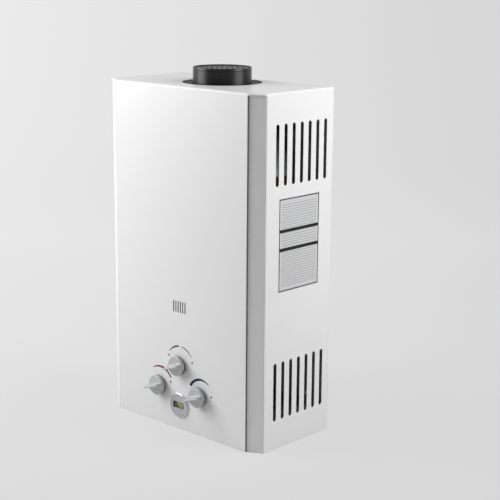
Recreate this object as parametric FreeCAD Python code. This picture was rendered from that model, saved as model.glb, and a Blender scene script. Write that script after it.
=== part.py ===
import FreeCAD, Part
import math
import os
from FreeCAD import Vector

# Portable propane water heater, in millimetres.
# Origin at the centre of the case's base rim, +Z up, the front panel faces -Y.

# Case
case_width = 399.0
case_depth = 195.5
case_height = 650.0
cover_sheet = 1.5
back_sheet = 1.5
plate_sheet = 1.5
panel_width = 341.0         # flat front panel between the two bevel strips
panel_step = 2.2            # the panel stands this far proud of the strips
bevel_depth = 15.0          # the strips run back this far towards the sides
edge_radius = 6.0
lip_height = 5.0            # band round the top that closes the recessed strips
top_edge_radius = 3.5
base_flange = 10.0
seat_gap = 0.3

# Side vents, two banks of upright slots on each side
vent_count = 7
vent_width = 8.0
vent_height = 109.5
vent_pitch = 21.35
vent_first = 46.0           # first slot, back from the front panel
upper_vent_drop = 55.0      # slot tops, below the top
lower_vent_rise = 54.0      # slot bottoms, above the base
slot_end_steps = 4          # flats round each slot end

# Flame window
window_slots = 6
window_slot_width = 2.4
window_slot_height = 21.5
window_pitch = 6.1
window_rise = 239.5

# Controls on the front panel
knob_spread = 54.0
knob_rise = 77.0
season_rise = 126.5
knob_radius = 19.0
knob_skirt = 7.5
knob_stand = 4.5            # gap between the panel and the skirt
knob_height = 28.0          # grip top, above the panel
knob_bore = 12.2            # bore depth, above the panel
grip_width = 4.6            # at the foot of the grip
grip_angle = 18.0           # the grip lies this far off level at rest
spindle_radius = 4.0
spindle_hole_radius = 6.0
running_gap = 0.08

# Temperature display
display_rise = 47.5
display_radius = 24.0
display_proud = 4.0
screen_width = 28.0
screen_height = 13.0
screen_rise = display_rise + 1.0

# Flue
flue_radius = 54.6          # stretch that takes a 110 mm flue pipe
flue_sheet = 1.2
flue_stand = 28.0           # above the top of the case
flue_rim = 3.5
top_hole_radius = 74.5
grille_pitch = 13.5
grille_hole = 10.5
grille_drop = 2.0

# Burner and heat exchanger stack
stack_y = 15.0
stack_width = 254.0
stack_depth = 116.0
stack_sheet = 1.0
stack_flange = 6.0
tray_base = 172.0
burner_top = 226.0
chamber_top = 420.0
exchanger_top = 486.0
hood_drop = 50.0            # hood top, below the top of the case
hood_neck_width = 134.0
blade_count = 12
blade_pitch = 20.0
blade_width = 8.0
fin_count = 8
fin_sheet = 1.0
tube_count = 3
tube_radius = 9.0
tube_pitch = 35.0
tube_end = 140.0
pipe_radius = 7.0
pipe_bend = 9.0             # reach of the mitred corners
wrap_rise = 300.0
riser_x = 160.0
sight_width = 36.0
sight_height = 18.0
sight_rise = 243.0

# Valves and fittings
valve_y = -20.0
floor_rise = 42.0           # underside of the bottom plate
thread_radius = 10.5        # half-inch pipe thread
thread_length = 24.0
thread_rise = 10.0
nut_across = 28.0
neck_fit_radius = 10.0
valve_seat = 56.0           # the valves sit on the fittings here
gas_inlet_x = -70.0
cold_inlet_x = 58.0
relief_x = 86.0
rod_radius = 2.5
rod_travel = 4.0
collar_across = 14.0
lever_pivot_rise = 35.0     # above the push rod

# Batteries
cell_radius = 16.9
cell_length = 60.5
battery_x = 112.0
battery_y = 50.0
battery_width = 75.0
battery_depth = 70.0
battery_top = 52.0
battery_base = 12.0
battery_wall = 1.5
lid_pin_radius = 1.2

# Wall fixing
wall_hole_radius = 3.5
wall_hole_spread = 300.0
wall_hole_rise = 60.0
wall_hole_drop = 40.0

front_y = -case_depth / 2
back_y = case_depth / 2
side_x = case_width / 2
back_inner = back_y - back_sheet
plate_top = floor_rise + plate_sheet
hood_top = case_height - hood_drop
stack_front = stack_y - stack_depth / 2
stack_back = stack_y + stack_depth / 2
tube_rise = (chamber_top + exchanger_top) / 2
wrap_offset = pipe_radius + 4.0
X_AXIS = Vector(1, 0, 0)
Y_AXIS = Vector(0, 1, 0)
Z_AXIS = Vector(0, 0, 1)


def box(x0, x1, y0, y1, z0, z1):
    return Part.makeBox(x1 - x0, y1 - y0, z1 - z0, Vector(x0, y0, z0))


def rod(radius, start, end):
    """Round bar from one point to another."""
    along = Vector(*end) - Vector(*start)
    return Part.makeCylinder(radius, along.Length, Vector(*start), along)


def polygon_wire(sides, reach, start, along):
    """Regular outline square to a direction, its corners at the given reach."""
    corners = []
    for side in range(sides):
        angle = 2 * math.pi * (side + 0.5) / sides
        corners.append(Vector(reach * math.cos(angle), reach * math.sin(angle), 0))
    wire = Part.makePolygon(corners + corners[:1])
    wire.Placement = FreeCAD.Placement(Vector(*start), FreeCAD.Rotation(Z_AXIS, along))
    return wire


def faceted_rod(radius, start, end, sides=12):
    """Bar drawn with flats inside a round one of the same radius."""
    along = Vector(*end) - Vector(*start)
    return Part.Face(polygon_wire(sides, radius, start, along)).extrude(along)


def polygon_bar(sides, across_flats, start, end):
    """Bar with a regular outline from one point to another."""
    return faceted_rod(across_flats / 2 / math.cos(math.pi / sides), start, end, sides)


def prism(outline, z0, z1):
    """Upright solid over a plan outline of (x, y) corners."""
    corners = [Vector(x, y, z0) for x, y in outline]
    face = Part.Face(Part.makePolygon(corners + corners[:1]))
    return face.extrude(Vector(0, 0, z1 - z0))


def plate_along_x(outline, x0, x1):
    """Solid over a side outline of (y, z) corners, running along X."""
    corners = [Vector(x0, y, z) for y, z in outline]
    face = Part.Face(Part.makePolygon(corners + corners[:1]))
    return face.extrude(Vector(x1 - x0, 0, 0))


def plate_along_y(outline, y0, y1):
    """Solid over a front outline of (x, z) corners, running along Y."""
    corners = [Vector(x, y0, z) for x, z in outline]
    face = Part.Face(Part.makePolygon(corners + corners[:1]))
    return face.extrude(Vector(0, y1 - y0, 0))


def turned(profile, centre, axis):
    """Solid of revolution over (radius, height) corners along an axis."""
    corners = [Vector(r, 0, h) for r, h in profile]
    face = Part.Face(Part.makePolygon(corners + corners[:1]))
    solid = face.revolve(Vector(0, 0, 0), Z_AXIS, 360)
    solid.Placement = FreeCAD.Placement(Vector(*centre), FreeCAD.Rotation(Z_AXIS, axis))
    return solid


def bent_bar(points, radius, cut):
    """Twelve-sided bar along straight runs, each corner made in two mitres."""
    knots = [Vector(*point) for point in points]
    route = [knots[0]]
    for before, corner, after in zip(knots, knots[1:], knots[2:]):
        back = (before - corner).normalize()
        ahead = (after - corner).normalize()
        route += [corner + back * cut, corner + ahead * cut]
    route.append(knots[-1])
    section = polygon_wire(12, radius, knots[0], knots[1] - knots[0])
    return Part.makePolygon(route).makePipeShell([section], True, False, 1)


def slot(width, z0, z1, y, x0, x1):
    """Upright bar along X with rounded ends, for a slot in a side."""
    radius = width / 2
    outline = []
    for centre, start in ((z1 - radius, 0), (z0 + radius, 180)):
        for step in range(slot_end_steps + 1):
            angle = math.radians(start + 180 * step / slot_end_steps)
            outline.append((y + radius * math.cos(angle), centre + radius * math.sin(angle)))
    return plate_along_x(outline, x0, x1)


def cover_outline(inset, step, rear):
    """Plan of the cover moved inward by inset, its bevel strips sunk by step."""
    slope = bevel_depth / (side_x - panel_width / 2)
    lean = math.hypot(1, slope)
    front = front_y + inset
    side = side_x - inset

    def strip(x):
        return front_y + step + slope * (x - panel_width / 2) + inset * lean

    if step:
        edge = panel_width / 2 - inset
        right = [(edge, front), (edge, strip(edge))]
    else:
        right = [(panel_width / 2 - inset * (lean - 1) / slope, front)]
    right += [(side, strip(side)), (side, rear)]
    return [(-x, y) for x, y in reversed(right)] + right


def case_block(inset, step, rear, z0, z1):
    """Block over the cover's plan with its upright front corners rounded."""
    outline = cover_outline(inset, step, rear)
    block = prism(outline, z0, z1)
    corner_x, corner_y = outline[-2]
    upright = []
    for edge in block.Edges:
        low, high = edge.Vertexes[0].Point, edge.Vertexes[-1].Point
        at_corner = abs(abs(low.x) - corner_x) < 0.01 and abs(low.y - corner_y) < 0.01
        if at_corner and abs(low.z - high.z) > 1:
            upright.append(edge)
    return block.makeFillet(max(edge_radius - inset, 1.0), upright)


def side_vents():
    """Cutters for the vent slots of both sides."""
    cutters = []
    upper = case_height - upper_vent_drop - vent_height
    for base in (lower_vent_rise, upper):
        for index in range(vent_count):
            y = front_y + vent_first + index * vent_pitch
            for x0, x1 in ((-side_x - 1, -side_x + 3), (side_x - 3, side_x + 1)):
                cutters.append(slot(vent_width, base, base + vent_height, y, x0, x1))
    return cutters


def cover_tab_places():
    """Middles and half sizes of the tabs that hold the cover to the bottom plate."""
    inner = side_x - cover_sheet
    front = front_y + cover_sheet
    tabs = [(-120, front + 8, 10, 8), (120, front + 8, 10, 8)]
    return tabs + [(-inner + 8, -60, 8, 10), (inner - 8, -60, 8, 10)]


def front_cover():
    """Drawn steel cover: front panel, bevel strips, sides and top in one sheet."""
    lower = case_block(0, panel_step, back_y, 0, case_height - lip_height)
    lip = case_block(0, 0, back_y, case_height - lip_height, case_height)
    rim = []
    for edge in lip.Edges:
        box_of = edge.BoundBox
        on_top = box_of.ZMin > case_height - 0.01
        at_back = box_of.YMin > back_y - 0.01
        if on_top and not at_back:
            rim.append(edge)
    lip = lip.makeFillet(top_edge_radius, rim)
    cover = lower.fuse(lip)
    roof = case_height - cover_sheet
    cuts = [case_block(cover_sheet, panel_step, back_y + 1, cover_sheet, roof)]
    cuts.append(prism(cover_outline(cover_sheet + base_flange, 0, back_y + 1), -1, cover_sheet + 1))
    cuts.append(rod(top_hole_radius, (0, stack_y, roof - 1), (0, stack_y, case_height + 1)))
    through = (front_y - 1, front_y + cover_sheet + 1)
    for x, z in knob_places():
        cuts.append(rod(spindle_hole_radius, (x, through[0], z), (x, through[1], z)))
    half_w, half_h = display_sleeve(seat_gap)
    cuts.append(box(-half_w, half_w, *through, screen_rise - half_h, screen_rise + half_h))
    for index in range(window_slots):
        x = (index - (window_slots - 1) / 2) * window_pitch
        half_w = window_slot_width / 2
        half_h = window_slot_height / 2
        cuts.append(box(x - half_w, x + half_w, *through, window_rise - half_h, window_rise + half_h))
    cover = cover.cut(cuts + side_vents())
    tabs = []
    for x, y, half_x, half_y in cover_tab_places():
        tabs.append(box(x - half_x, x + half_x, y - half_y, y + half_y, floor_rise - cover_sheet, floor_rise))
    return cover.fuse(tabs).removeSplitter()


def back_plate():
    """Flat back with side flanges, pressed beads and wall holes."""
    side = side_x - cover_sheet - seat_gap
    low = cover_sheet + seat_gap
    high = case_height - cover_sheet - seat_gap
    plate = box(-side, side, back_inner, back_y, low, high)
    parts = [box(-side, -side + back_sheet, back_y - 14, back_inner, low, high)]
    parts.append(box(side - back_sheet, side, back_y - 14, back_inner, low, high))
    bead = back_sheet / 2
    cuts = []
    for x in (-120, 120):
        parts.append(box(x - 9, x + 9, back_inner - bead, back_inner, 120, case_height - 110))
        cuts.append(box(x - 7.5, x + 7.5, back_y - bead, back_y + 1, 121.5, case_height - 111.5))
    through = (back_inner - 1, back_y + 1)
    for x in (-wall_hole_spread / 2, wall_hole_spread / 2):
        for z in (wall_hole_rise, case_height - wall_hole_drop):
            cuts.append(rod(wall_hole_radius, (x, through[0], z), (x, through[1], z)))
    hook = case_height - 48
    cuts.append(rod(6, (0, through[0], hook), (0, through[1], hook)))
    cuts.append(box(-3, 3, *through, hook, hook + 17))
    return plate.fuse(parts).cut(cuts).removeSplitter()


def fitting_places():
    """Axes of the three threaded connections under the case."""
    return {"gas": (gas_inlet_x, valve_y), "cold": (cold_inlet_x, valve_y), "hot": hot_place()}


def hot_place():
    return -riser_x, stack_y - tube_pitch


def bottom_plate():
    """Floor of the case, which carries the fittings, the valves and the batteries."""
    outline = cover_outline(cover_sheet + back_sheet + 2 * seat_gap, panel_step, back_inner)
    plate = prism(outline, floor_rise, plate_top)
    flange = box(-side_x + 20, side_x - 20, back_inner - plate_sheet, back_inner, floor_rise - 12, floor_rise)
    cuts = [box(-27, 27, front_y, front_y + 20, floor_rise - 1, plate_top + 1)]
    for x, y in fitting_places().values():
        cuts.append(rod(neck_fit_radius + 0.5, (x, y, floor_rise - 1), (x, y, plate_top + 1)))
    cuts.append(rod(7.5, (relief_x, valve_y, floor_rise - 1), (relief_x, valve_y, plate_top + 1)))
    half_w = battery_width / 2 + 0.4
    half_d = battery_depth / 2 + 0.4
    cuts.append(box(battery_x - half_w, battery_x + half_w, battery_y - half_d, battery_y + half_d,
                    floor_rise - 1, plate_top + 1))
    return plate.fuse(flange).cut(cuts).removeSplitter()


def flue_collar():
    """Black flue spigot: waist down to the hood, straight pipe, turned-in rim."""
    inner = flue_radius - flue_sheet
    top = case_height + flue_stand
    waist = flue_radius - 0.6
    profile = [(inner, hood_top), (waist, hood_top), (waist, case_height - 1), (flue_radius, case_height - 1)]
    profile += [(flue_radius, top - flue_rim), (flue_radius - 1.2, top), (inner, top)]
    return turned(profile, (0, stack_y, 0), Z_AXIS)


def flue_grille():
    """Square-mesh guard inside the flue."""
    radius = flue_radius - flue_sheet - 0.15
    top = case_height + flue_stand - grille_drop
    sheet = 1.6
    disc = faceted_rod(radius, (0, stack_y, top - sheet), (0, stack_y, top), 24)
    holes = []
    reach = int(radius // grille_pitch)
    half = grille_hole / 2
    for column in range(-reach, reach + 1):
        for row in range(-reach, reach + 1):
            x = column * grille_pitch
            y = row * grille_pitch
            if math.hypot(abs(x) + half, abs(y) + half) < radius - 2:
                holes.append(box(x - half, x + half, stack_y + y - half, stack_y + y + half,
                                 top - sheet - 1, top + 1))
    return disc.cut(holes)


def flue_trim_plate():
    """Black plate under the top, round the flue."""
    top = case_height - cover_sheet
    half = top_hole_radius + 5
    plate = box(-half, half, stack_y - half, min(stack_y + half, back_inner - 0.5), top - 1.2, top)
    return plate.cut(polygon_bar(24, 2 * flue_radius + 2, (0, stack_y, top - 3), (0, stack_y, top + 1)))


def duct(z0, z1):
    """Straight four-sided sheet duct of the stack's size."""
    half_x, half_y = stack_half()
    t = stack_sheet
    outer = box(-half_x, half_x, stack_y - half_y, stack_y + half_y, z0, z1)
    return outer.cut(box(t - half_x, half_x - t, stack_y - half_y + t, stack_y + half_y - t, z0 - 1, z1 + 1))


def flange_ring(half, z0, z1):
    """Flat flange round a duct of half size (x, y)."""
    outer = box(-half[0] - stack_flange, half[0] + stack_flange, stack_y - half[1] - stack_flange,
                stack_y + half[1] + stack_flange, z0, z1)
    return outer.cut(box(-half[0], half[0], stack_y - half[1], stack_y + half[1], z0, z1))


def stack_half():
    return stack_width / 2, stack_depth / 2


def exhaust_hood():
    """Tapered hood that gathers the flue gas under the collar."""
    wide = stack_width / 2
    neck = hood_neck_width / 2
    t = stack_sheet
    slope = (wide - neck) / (hood_top - exchanger_top)
    across = t * math.hypot(1, slope)
    shell = plate_along_y([(-wide, exchanger_top), (wide, exchanger_top), (neck, hood_top), (-neck, hood_top)],
                          stack_front, stack_back)
    low = wide - across + slope
    high = neck - across + slope * t
    hollow = plate_along_y([(-low, exchanger_top - 1), (low, exchanger_top - 1), (high, hood_top - t),
                            (-high, hood_top - t)], stack_front + t, stack_back - t)
    flanges = [box(x0, x1, stack_front, stack_back, exchanger_top, exchanger_top + t)
               for x0, x1 in ((-wide - stack_flange, -wide + t), (wide - t, wide + stack_flange))]
    for y0, y1 in ((stack_front - stack_flange, stack_front), (stack_back, stack_back + stack_flange)):
        flanges.append(box(-wide - stack_flange, wide + stack_flange, y0, y1, exchanger_top, exchanger_top + t))
    bore = faceted_rod(flue_radius - flue_sheet, (0, stack_y, hood_top - 3), (0, stack_y, hood_top + 1), 24)
    return shell.fuse(flanges).cut([hollow, bore]).removeSplitter()


def tube_places():
    """Y of each straight tube in the exchanger, back to front."""
    middle = (tube_count - 1) / 2
    return [stack_y + (middle - index) * tube_pitch for index in range(tube_count)]


def tube_holes(x0, x1):
    """Eight-sided cutters that clear the tubes."""
    across = 2 * tube_radius + 0.2
    return [polygon_bar(8, across, (x0, y, tube_rise), (x1, y, tube_rise)) for y in tube_places()]


def exchanger_shell():
    """Copper casing of the finned section."""
    shell = duct(chamber_top, exchanger_top)
    rings = [flange_ring(stack_half(), chamber_top, chamber_top + stack_sheet)]
    rings.append(flange_ring(stack_half(), exchanger_top - stack_sheet, exchanger_top))
    return shell.fuse(rings).cut(tube_holes(-stack_width, stack_width))


def exchanger_fins():
    """Upright copper fins on the tubes."""
    half_y = stack_depth / 2 - stack_sheet - 0.2
    span = stack_width - 2 * 16
    pitch = span / (fin_count - 1)
    fins = []
    for index in range(fin_count):
        x = -span / 2 + index * pitch
        fin = box(x - fin_sheet / 2, x + fin_sheet / 2, stack_y - half_y, stack_y + half_y,
                  chamber_top + 4, exchanger_top - 4)
        fins.append(fin.cut(tube_holes(x - 2, x + 2)))
    return fins


def exchanger_tubes():
    """One tube that crosses the fins three times, drawn filled."""
    turn = stack_width / 2 + 8 + tube_pitch / 2
    points = []
    for index, y in enumerate(tube_places()):
        side = 1 if index % 2 == 0 else -1
        points.append((side * (tube_end if index == 0 else turn), y, tube_rise))
        last = index == tube_count - 1
        points.append((-side * (tube_end if last else turn), y, tube_rise))
    return bent_bar(points, tube_radius, 0.38 * tube_pitch)


def combustion_chamber():
    """Copper box over the burners, with the flame window hole."""
    chamber = duct(burner_top, chamber_top)
    rings = [flange_ring(stack_half(), burner_top, burner_top + stack_sheet)]
    rings.append(flange_ring(stack_half(), chamber_top - stack_sheet, chamber_top))
    cuts = [box(-sight_width / 2, sight_width / 2, stack_front - 1, stack_front + 2,
                sight_rise - sight_height / 2, sight_rise + sight_height / 2)]
    z = electrode_rise()
    for x in electrode_places():
        cuts.append(polygon_bar(6, 7.6, (x, stack_front - 1, z), (x, stack_front + 2, z)))
    return chamber.fuse(rings).cut(cuts)


def wrap_tube():
    """Water tube bound round the combustion chamber, up to the exchanger."""
    front = stack_front - wrap_offset
    back = stack_back + wrap_offset
    left = -stack_width / 2 - wrap_offset
    inlet_y = tube_places()[0]
    points = [(riser_x, front, wrap_rise - 60), (riser_x, front, wrap_rise), (left, front, wrap_rise)]
    points += [(left, back, wrap_rise), (riser_x, back, wrap_rise)]
    points += [(riser_x, inlet_y, tube_rise), (tube_end, inlet_y, tube_rise)]
    return bent_bar(points, pipe_radius, pipe_bend)


def cold_feed_pipe():
    """Water from the water valve to the tube round the chamber."""
    front = stack_front - wrap_offset
    points = [(water_valve_end(), valve_y, knob_rise), (riser_x, valve_y, knob_rise)]
    points += [(riser_x, front, wrap_rise - 110), (riser_x, front, wrap_rise - 60)]
    return bent_bar(points, pipe_radius, pipe_bend)


def hot_outlet_pipe():
    """Water from the exchanger down to the hot outlet."""
    x, y = hot_place()
    points = [(-tube_end, y, tube_rise), (x, y, tube_rise), (x, y, valve_seat)]
    return bent_bar(points, pipe_radius, pipe_bend)


def burner_tray():
    """Steel tray that holds the burner blades."""
    tray = duct(tray_base, burner_top)
    parts = [flange_ring(stack_half(), burner_top - stack_sheet, burner_top)]
    half_x = stack_width / 2 - stack_sheet
    ledge = tray_base + 9
    front = stack_front + stack_sheet
    back = stack_back - stack_sheet
    parts.append(box(-half_x, half_x, front, front + 8, ledge - stack_sheet, ledge))
    parts.append(box(-half_x, half_x, back - 8, back, ledge - stack_sheet, ledge))
    window = box(-half_x + 10, half_x - 10, stack_front - 1, front + 0.5, ledge, ledge + 20)
    return tray.fuse(parts).cut(window)


def blade_places():
    return [(index - (blade_count - 1) / 2) * blade_pitch for index in range(blade_count)]


def burner_blades():
    """Stamped burner blades, each with its mixing throat at the front."""
    front = stack_front + stack_sheet + 1
    back = stack_back - stack_sheet - 1
    base = tray_base + 9
    top = burner_top - 4
    outline = [(front, base), (back - 5, base), (back, base + 5), (back, top), (front + 2, top)]
    outline += [(front + 2, top - 11), (front + 53, top - 15), (front + 53, base + 22), (front, base + 19)]
    half = blade_width / 2
    return [plate_along_x(outline, x - half, x + half) for x in blade_places()]


def manifold_back():
    return stack_front - 8


def gas_manifold():
    """Gas rail in front of the burners, with its riser and end lugs."""
    low, high = tray_base + 9.5, tray_base + 27.5
    half = stack_width / 2
    back = manifold_back()
    rail = box(-half, half, back - 18, back, low, high)
    lugs = [box(-half, -half + 8, back, stack_front, low + 3, high - 3)]
    lugs.append(box(half - 8, half, back, stack_front, low + 3, high - 3))
    riser_y = back - 9
    season_top = season_rise + 14
    riser = faceted_rod(pipe_radius, (0, riser_y, season_top), (0, riser_y, low + 1))
    foot = box(-14, 14, riser_y - 9, riser_y + 9, season_top, season_top + 4)
    return rail.fuse(lugs + [riser, foot])


def spindle_bore(place, front, depth):
    """Sixteen-sided cutter for the blind bore of a spindle."""
    x, z = place
    return polygon_bar(16, 2 * (spindle_radius + running_gap), (x, front - 1, z), (x, front + depth, z))


def gas_nozzles():
    """Six-sided gas nozzles, one for each blade."""
    back = manifold_back()
    z = tray_base + 18.5
    tip = stack_front + stack_sheet + 0.5
    return [polygon_bar(6, 7, (x, back, z), (x, tip, z)) for x in blade_places()]


def season_valve():
    """Valve that feeds part or all of the burner rail."""
    back = manifold_back()
    front = back - 20
    body = box(gas_inlet_x + 18, 18, front, back + 15, season_rise - 13.5, season_rise + 14)
    boss = box(-10, 10, front - 8, front, season_rise - 10, season_rise + 10)
    return body.fuse(boss).cut(spindle_bore((0, season_rise), front - 8, 20))


def gas_valve():
    """Die-cast gas valve with its spindle boss and push-rod bore."""
    x0, x1 = gas_inlet_x - 30, gas_inlet_x + 46
    body = box(x0, x1, valve_y - 22, valve_y + 22, valve_seat, gas_valve_top())
    boss = box(-knob_spread - 11, -knob_spread + 11, valve_y - 36, valve_y, knob_rise - 11, knob_rise + 11)
    bores = [spindle_bore((-knob_spread, knob_rise), valve_y - 36, 22)]
    bores.append(rod(rod_radius + running_gap, (x1 - 20, valve_y, knob_rise), (x1 + 1, valve_y, knob_rise)))
    return body.fuse(boss).cut(bores)


def gas_valve_top():
    return knob_rise + 21


def gas_solenoid():
    """Safety cut-off coil in its frame on the gas valve."""
    x = gas_inlet_x - 12
    base = gas_valve_top()
    frame = box(x - 12, x + 12, valve_y - 13, valve_y + 13, base, base + 28)
    return frame.fuse(polygon_bar(6, 12, (x, valve_y, base + 28), (x, valve_y, base + 33)))


def gas_feed_pipe():
    """Gas from the main valve up to the season valve."""
    x = gas_inlet_x + 26
    y = valve_y - 14
    return faceted_rod(6, (x, y, gas_valve_top()), (x, y, season_rise - 13.5))


def threaded_fitting(place, bore):
    """Half-inch nipple with a hexagon under the bottom plate."""
    x, y = place
    tip = thread_rise + thread_length
    thread = rod(thread_radius, (x, y, thread_rise), (x, y, tip))
    nut = polygon_bar(6, nut_across, (x, y, tip), (x, y, floor_rise))
    neck = polygon_bar(6, neck_fit_radius * math.sqrt(3), (x, y, floor_rise), (x, y, valve_seat))
    return thread.fuse([nut, neck]).cut(faceted_rod(bore, (x, y, thread_rise - 1), (x, y, valve_seat + 1)))


def water_valve_end():
    return relief_x + 10


def water_valve():
    """Brass water valve: barrel, diaphragm flange, ports and spindle boss."""
    start = knob_spread - 24
    axis = (valve_y, knob_rise)
    body = faceted_rod(20, (start + 6, *axis), (water_valve_end(), *axis), 16)
    extras = [polygon_bar(8, 62, (start, *axis), (start + 6, *axis))]
    for x, half in ((cold_inlet_x, 12), (relief_x, 8)):
        extras.append(box(x - half, x + half, valve_y - half, valve_y + half, valve_seat, knob_rise))
    extras.append(box(knob_spread - 10, knob_spread + 10, valve_y - 36, valve_y, knob_rise - 10, knob_rise + 10))
    return body.fuse(extras).cut(spindle_bore((knob_spread, knob_rise), valve_y - 36, 22))


def diaphragm_cover():
    """Stepped cover of the diaphragm, with the push-rod guide."""
    start = knob_spread - 24
    axis = (valve_y, knob_rise)
    plate = polygon_bar(8, 62, (start - 6, *axis), (start, *axis))
    dome = polygon_bar(8, 42, (start - 16, *axis), (start - 6, *axis))
    nose = polygon_bar(6, 12, (start - 22, *axis), (start - 16, *axis))
    return plate.fuse([dome, nose]).cut(rod(rod_radius + running_gap, (start - 23, *axis), (start + 1, *axis)))


def push_rod():
    """Rod that the diaphragm pushes towards the gas valve when water runs."""
    left = gas_inlet_x + 46 - 10
    right = knob_spread - 26
    axis = (valve_y, knob_rise)
    shaft = rod(rod_radius, (left, *axis), (right, *axis))
    return shaft.fuse(polygon_bar(6, collar_across, (0, *axis), (3, *axis)))


def lever_pivot():
    return -1.0, valve_y, knob_rise + lever_pivot_rise


def microswitch():
    """Switch that starts the spark when the rod moves."""
    x, y, z = lever_pivot()
    body = box(x - 7, x + 13, y - 6, y + 6, z + 1.5, z + 9.5)
    ear = box(x - 2, x + 2, y + 2.3, y + 4.5, z - 1.5, z + 1.5)
    return body.fuse(ear).cut(rod(0.68, (x, y + 2, z), (x, y + 5, z)))


def switch_bracket():
    """Angle that hangs the switch from the diaphragm flange."""
    x, y, z = lever_pivot()
    flange = knob_spread - 24 - 6
    top = z + 9.5
    angle = box(x - 7, flange, y - 6, y + 6, top, top + 1.2)
    return angle.fuse(box(flange - 1.2, flange, y - 6, y + 6, knob_rise + 25, top + 1.2))


def switch_lever():
    """Blade beside the rod's collar, with its pivot pin."""
    x, y, z = lever_pivot()
    blade = box(x - 0.6, x + 0.6, y - 2, y + 2, knob_rise + rod_radius + 1.8, z + 0.6)
    return blade.fuse(rod(0.6, (x, y + 1, z), (x, y + 4.5, z)))


def relief_valve():
    """Drain and pressure relief nipple under the water valve."""
    body = polygon_bar(6, 12, (relief_x, valve_y, 30), (relief_x, valve_y, valve_seat))
    return body.fuse(faceted_rod(4, (relief_x, valve_y, 26), (relief_x, valve_y, 30)))


def relief_knob():
    """Winged cap that opens the drain."""
    cap = polygon_bar(6, 15, (relief_x, valve_y, 10), (relief_x, valve_y, 29.7))
    wings = box(relief_x - 11, relief_x + 11, valve_y - 1.2, valve_y + 1.2, 10, 24)
    return cap.fuse(wings).cut(polygon_bar(12, 8.6, (relief_x, valve_y, 25.7), (relief_x, valve_y, 31)))


def electrode_places():
    return -45.0, 45.0


def electrode_rise():
    return burner_top + 14


def electrode(x):
    """Ceramic body with its rod over the burners."""
    y, z = stack_front - 27, electrode_rise()
    body = faceted_rod(3.5, (x, y, z), (x, y + 32, z))
    return body.fuse(faceted_rod(1.2, (x, y + 32, z), (x, y + 56, z), 8))


def electrode_clamps():
    """Small forked plates that hold the electrodes to the chamber."""
    clamps = []
    z = electrode_rise()
    for x in electrode_places():
        plate = box(x - 12, x + 9, stack_front - 1.2, stack_front, z - 7, z + 7)
        clamps.append(plate.cut(box(x - 3.7, x + 10, stack_front - 2, stack_front + 1, z - 3.7, z + 3.7)))
    return clamps


def sight_glass():
    """Mica pane over the flame window."""
    half_w = sight_width / 2 + 4
    half_h = sight_height / 2 + 4
    return box(-half_w, half_w, stack_front - 1.5, stack_front, sight_rise - half_h, sight_rise + half_h)


def overheat_switch():
    """Button thermostat on the side of the chamber."""
    x = -stack_width / 2
    return faceted_rod(9, (x - 7, stack_y, chamber_top - 32), (x, stack_y, chamber_top - 32), 16)


def temperature_probe():
    """Outlet temperature probe on the hot pipe."""
    x, y = hot_place()
    face = y - pipe_radius
    return polygon_bar(6, 10, (x, face - 16, 120), (x, face, 120))


def control_box():
    """Base of the spark and control electronics housing."""
    base = box(-60, 60, back_inner - 28, back_inner, 62, 152)
    return base.cut(box(-57.5, 57.5, back_inner - 29, back_inner - 3, 64.5, 149.5))


def control_lid():
    """Lid of the electronics housing."""
    lid = box(-60, 60, back_inner - 36, back_inner - 28, 62, 152)
    upright = [e for e in lid.Edges if e.BoundBox.YMax < back_inner - 35.9]
    return lid.makeChamfer(3, upright)


def battery_box():
    """Battery bay let into the bottom plate, open below, with hinge lugs."""
    x0, x1 = battery_x - battery_width / 2, battery_x + battery_width / 2
    y0, y1 = battery_y - battery_depth / 2, battery_y + battery_depth / 2
    shell = box(x0, x1, y0, y1, battery_base, battery_top)
    flange = box(x0 - 4, x1 + 4, y0 - 4, y1 + 4, floor_rise - 1.5, floor_rise)
    wall = battery_wall
    hollow = box(x0 + wall, x1 - wall, y0 + wall, y1 - wall, battery_base - 1, battery_top - wall)
    shell = shell.fuse(flange).cut(hollow)
    y, z = lid_hinge()
    lugs = []
    for x in (x0 + 6, x1 - 6):
        neck = box(x - 2.5, x + 2.5, y1, y, z, z + 3)
        lug = neck.fuse(faceted_rod(3, (x - 2.5, y, z), (x + 2.5, y, z)))
        lugs.append(lug.cut(polygon_bar(12, 2 * lid_pin_radius + 0.06, (x - 4, y, z), (x + 4, y, z))))
    return shell.fuse(lugs)


def lid_hinge():
    """Y and Z of the battery lid's hinge line."""
    return battery_y + battery_depth / 2 + 3.5, battery_base + 0.5


def battery_lid():
    """Door under the battery bay, with its hinge barrel, ribs and snap tab."""
    x0, x1 = battery_x - battery_width / 2, battery_x + battery_width / 2
    y0, y1 = battery_y - battery_depth / 2, battery_y + battery_depth / 2
    top = battery_base - 0.3
    door = box(x0, x1, y0, y1, top - 2.5, top)
    y, z = lid_hinge()
    barrel_ends = (x0 + 6 + 3, x1 - 6 - 3)
    barrel = faceted_rod(3, (barrel_ends[0], y, z), (barrel_ends[1], y, z))
    web = box(barrel_ends[0], barrel_ends[1], y1 - 1, y, top - 2.5, top - 0.5)
    tab = box(battery_x - 9, battery_x + 9, y0 - 2.3, y0 - 0.4, top - 2.5, battery_base + 8)
    root = box(battery_x - 9, battery_x + 9, y0 - 2.3, y0 + 1, top - 2.5, top - 0.5)
    ribs = [box(x - 1, x + 1, y0 + 6, y1 - 6, top - 0.5, cell_rise() - cell_radius - 0.3) for x in cell_places()]
    lid = door.fuse([barrel, web, tab, root] + ribs)
    bore = 2 * (lid_pin_radius + running_gap)
    return lid.cut(polygon_bar(12, bore, (barrel_ends[0] - 1, y, z), (barrel_ends[1] + 1, y, z)))


def lid_pin():
    """Steel pin of the battery lid."""
    y, z = lid_hinge()
    reach = battery_width / 2 - 3.5
    return rod(lid_pin_radius, (battery_x - reach, y, z), (battery_x + reach, y, z))


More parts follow.
